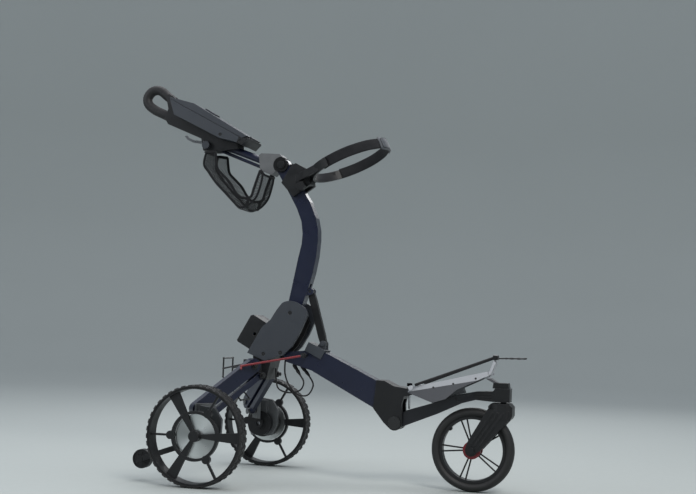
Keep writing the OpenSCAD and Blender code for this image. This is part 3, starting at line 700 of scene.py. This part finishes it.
def front_tyre(finish):
    """A smooth round tyre with fine sidewall rings."""
    middle_r, half, bead_r = 0.1085, 0.0218, 0.0982
    bead = [(0.0979, -0.0162), (0.0980, -0.0178)]
    profile = []
    for i in range(41):
        a = math.radians(-118 + 236 * i / 40)
        r = middle_r + (FRONT_R - middle_r) * math.cos(a)
        ridge = 0.0005 if i in (7, 8, 32, 33) else 0
        profile.append((max(r + ridge, bead_r), half * math.sin(a) * (1 + ridge * 30)))
    profile = bead + profile + [(r, -y) for r, y in reversed(bead)]
    v, f = lathe(profile, FRONT_C, 160)
    piece("front_tyre_rubber", v, f, finish["tyre"], "front_wheel", ["front_tyre"])


# ---------------------------------------------------------------- upper strap and pad

BAG_C = (342, 0, 976)
BAG_LEAN = math.radians(24)
STRAP_R = 119.4
STRAP_SPAN = 243       # degrees of the bag's round that the strap covers
PAD_R = 121.3
PAD_PUFF = 7.2
PAD_HALF = (24, 21)    # degrees across, millimetres up


def pad_rise(u, v):
    """How full the pad is at (u, v), each -1 to 1: 1 in the middle and 0 at the edges."""
    return max(0.0, 1 - (abs(u) ** 5 + abs(v) ** 4)) ** 0.5


def round_bag(radius, angle, height):
    """A point on the bag's round at the upper strap: millimetres, degrees from straight ahead."""
    a = math.radians(angle)
    x, y, z = radius * math.cos(a), radius * math.sin(a), height
    return at(BAG_C[0] + x * math.cos(BAG_LEAN) - z * math.sin(BAG_LEAN), BAG_C[1] + y,
              BAG_C[2] + x * math.sin(BAG_LEAN) + z * math.cos(BAG_LEAN))


def strap(finish):
    """Webbing round the bag's place, with stitched edges."""
    steps, rows, half_width = 120, 8, 15

    def strap_angle(i):
        """The angle of step i, in degrees from straight ahead."""
        return STRAP_SPAN * (i / steps - 0.5)

    def ripple(angle):
        """How far the strap's edges stand off the round, in millimetres."""
        return 0.35 * math.sin(angle * 0.21)

    verts, uv = [], []
    for i in range(steps + 1):
        angle = strap_angle(i)
        for j in range(rows + 1):
            h = -half_width + 2 * half_width * j / rows
            verts.append(round_bag(STRAP_R + ripple(angle) * (h / half_width) ** 2, angle, h))
            uv.append((math.radians(STRAP_SPAN * i / steps) * STRAP_R / 1000, h / 1000))
    w = rows + 1
    faces = [(i * w + j, (i + 1) * w + j, (i + 1) * w + j + 1, i * w + j + 1)
             for i in range(steps) for j in range(rows)]
    web = piece("strap_webbing", verts, faces, finish["webbing"], "mast", ["cradle_strap"], uv=uv)
    solid = web.modifiers.new("weight", "SOLIDIFY")
    solid.thickness, solid.offset = 0.0018, 0
    for name, h in (("upper", half_width), ("lower", -half_width)):
        path = [round_bag(STRAP_R + ripple(strap_angle(i)), strap_angle(i), h) for i in range(steps + 1)]
        v, f = tube(path, lambda i, s: oval(0.0013, 0.0011, 8), side=Vector((0, 0, 1)))
        piece("strap_edge_" + name, v, f, finish["webbing"], "mast")


def strap_pad(finish):
    """The pad on the strap: flat where it rests, crowned outside, with a stitched seam round it."""
    across, up = 36, 20
    verts, faces = [], []
    for layer in (0, 1):
        for i in range(across + 1):
            u = 2 * i / across - 1
            for j in range(up + 1):
                v = 2 * j / up - 1
                channel = 1 - 0.10 * math.exp(-((abs(u) - 0.72) / 0.05) ** 2)
                pull = 1 - 0.035 * (1 - abs(v) ** 2) * abs(u) ** 3
                verts.append(round_bag(PAD_R + PAD_PUFF * pad_rise(u, v) * channel * layer,
                                       PAD_HALF[0] * u * pull, PAD_HALF[1] * v * (1 - 0.05 * abs(u) ** 4)))
    w = up + 1
    size = (across + 1) * w
    for i in range(across):
        for j in range(up):
            q = (i * w + j, (i + 1) * w + j, (i + 1) * w + j + 1, i * w + j + 1)
            faces += [q[::-1], tuple(x + size for x in q)]
    ring = ([i * w for i in range(across + 1)] + [across * w + j for j in range(1, up + 1)]
            + [i * w + up for i in range(across - 1, -1, -1)] + list(range(up - 1, 0, -1)))
    for a, b in zip(ring, ring[1:] + ring[:1]):
        faces.append((a, b, b + size, a + size))
    skin = surface("pad_skin", (0.055, 0.062, 0.074), 0.62, grain=(520, 0.6), mottle=(24, 0.2), sheen=0.15)
    pad = piece("strap_cushion", verts, faces, skin, "mast", ["strap_pad"])
    pad.modifiers.new("round", "SUBSURF").render_levels = 1
    seam = []
    for i in range(97):
        a = 2 * math.pi * i / 96
        u = math.copysign(abs(math.cos(a)) ** 0.35, math.cos(a)) * 0.86
        v = math.copysign(abs(math.sin(a)) ** 0.35, math.sin(a)) * 0.80
        seam.append(round_bag(PAD_R + PAD_PUFF * pad_rise(u, v) + 0.1, PAD_HALF[0] * u, PAD_HALF[1] * v))
    v, f = tube(seam[:-1], lambda i, s: oval(0.0006, 0.0006, 6), closed=True, side=Vector((0.3, 0.9, 0.3)))
    piece("strap_cushion_stitch", v, f, finish["webbing"], "mast")


def pull_tab(finish):
    """The rubber tab on the lower cord, with grip bars."""
    line = ((811.5, 389.8), (818, 390), (830, 390.6), (848, 391), (868, 391.4), (886, 391.8), (892.5, 392))
    path = catmull([at(x, 0, z) for x, z in line], 4)

    def section(i, s):
        """Wider towards the end, which is rounded off, with bars across the part that is held."""
        wide = 0.0085 + 0.0024 * s - 0.035 * max(0, s - 0.93)
        thick = 0.0021 + (0.0007 if i % 4 < 2 and 0.35 < s < 0.9 else 0)
        return oval(wide, thick, 28, 0.5)

    v, f = tube(path, section)
    piece("cord_pull", v, f, finish["rubber"], "front_frame", ["pull_tab"])


# ---------------------------------------------------------------- the scene

camera()
studio()
finish = finishes()
dress(finish)
leads(finish)
tray_cord(finish)
net(finish)
grip(finish)
for side in (-1, 1):
    rear_tyre(side, finish)
front_tyre(finish)
strap(finish)
strap_pad(finish)
pull_tab(finish)
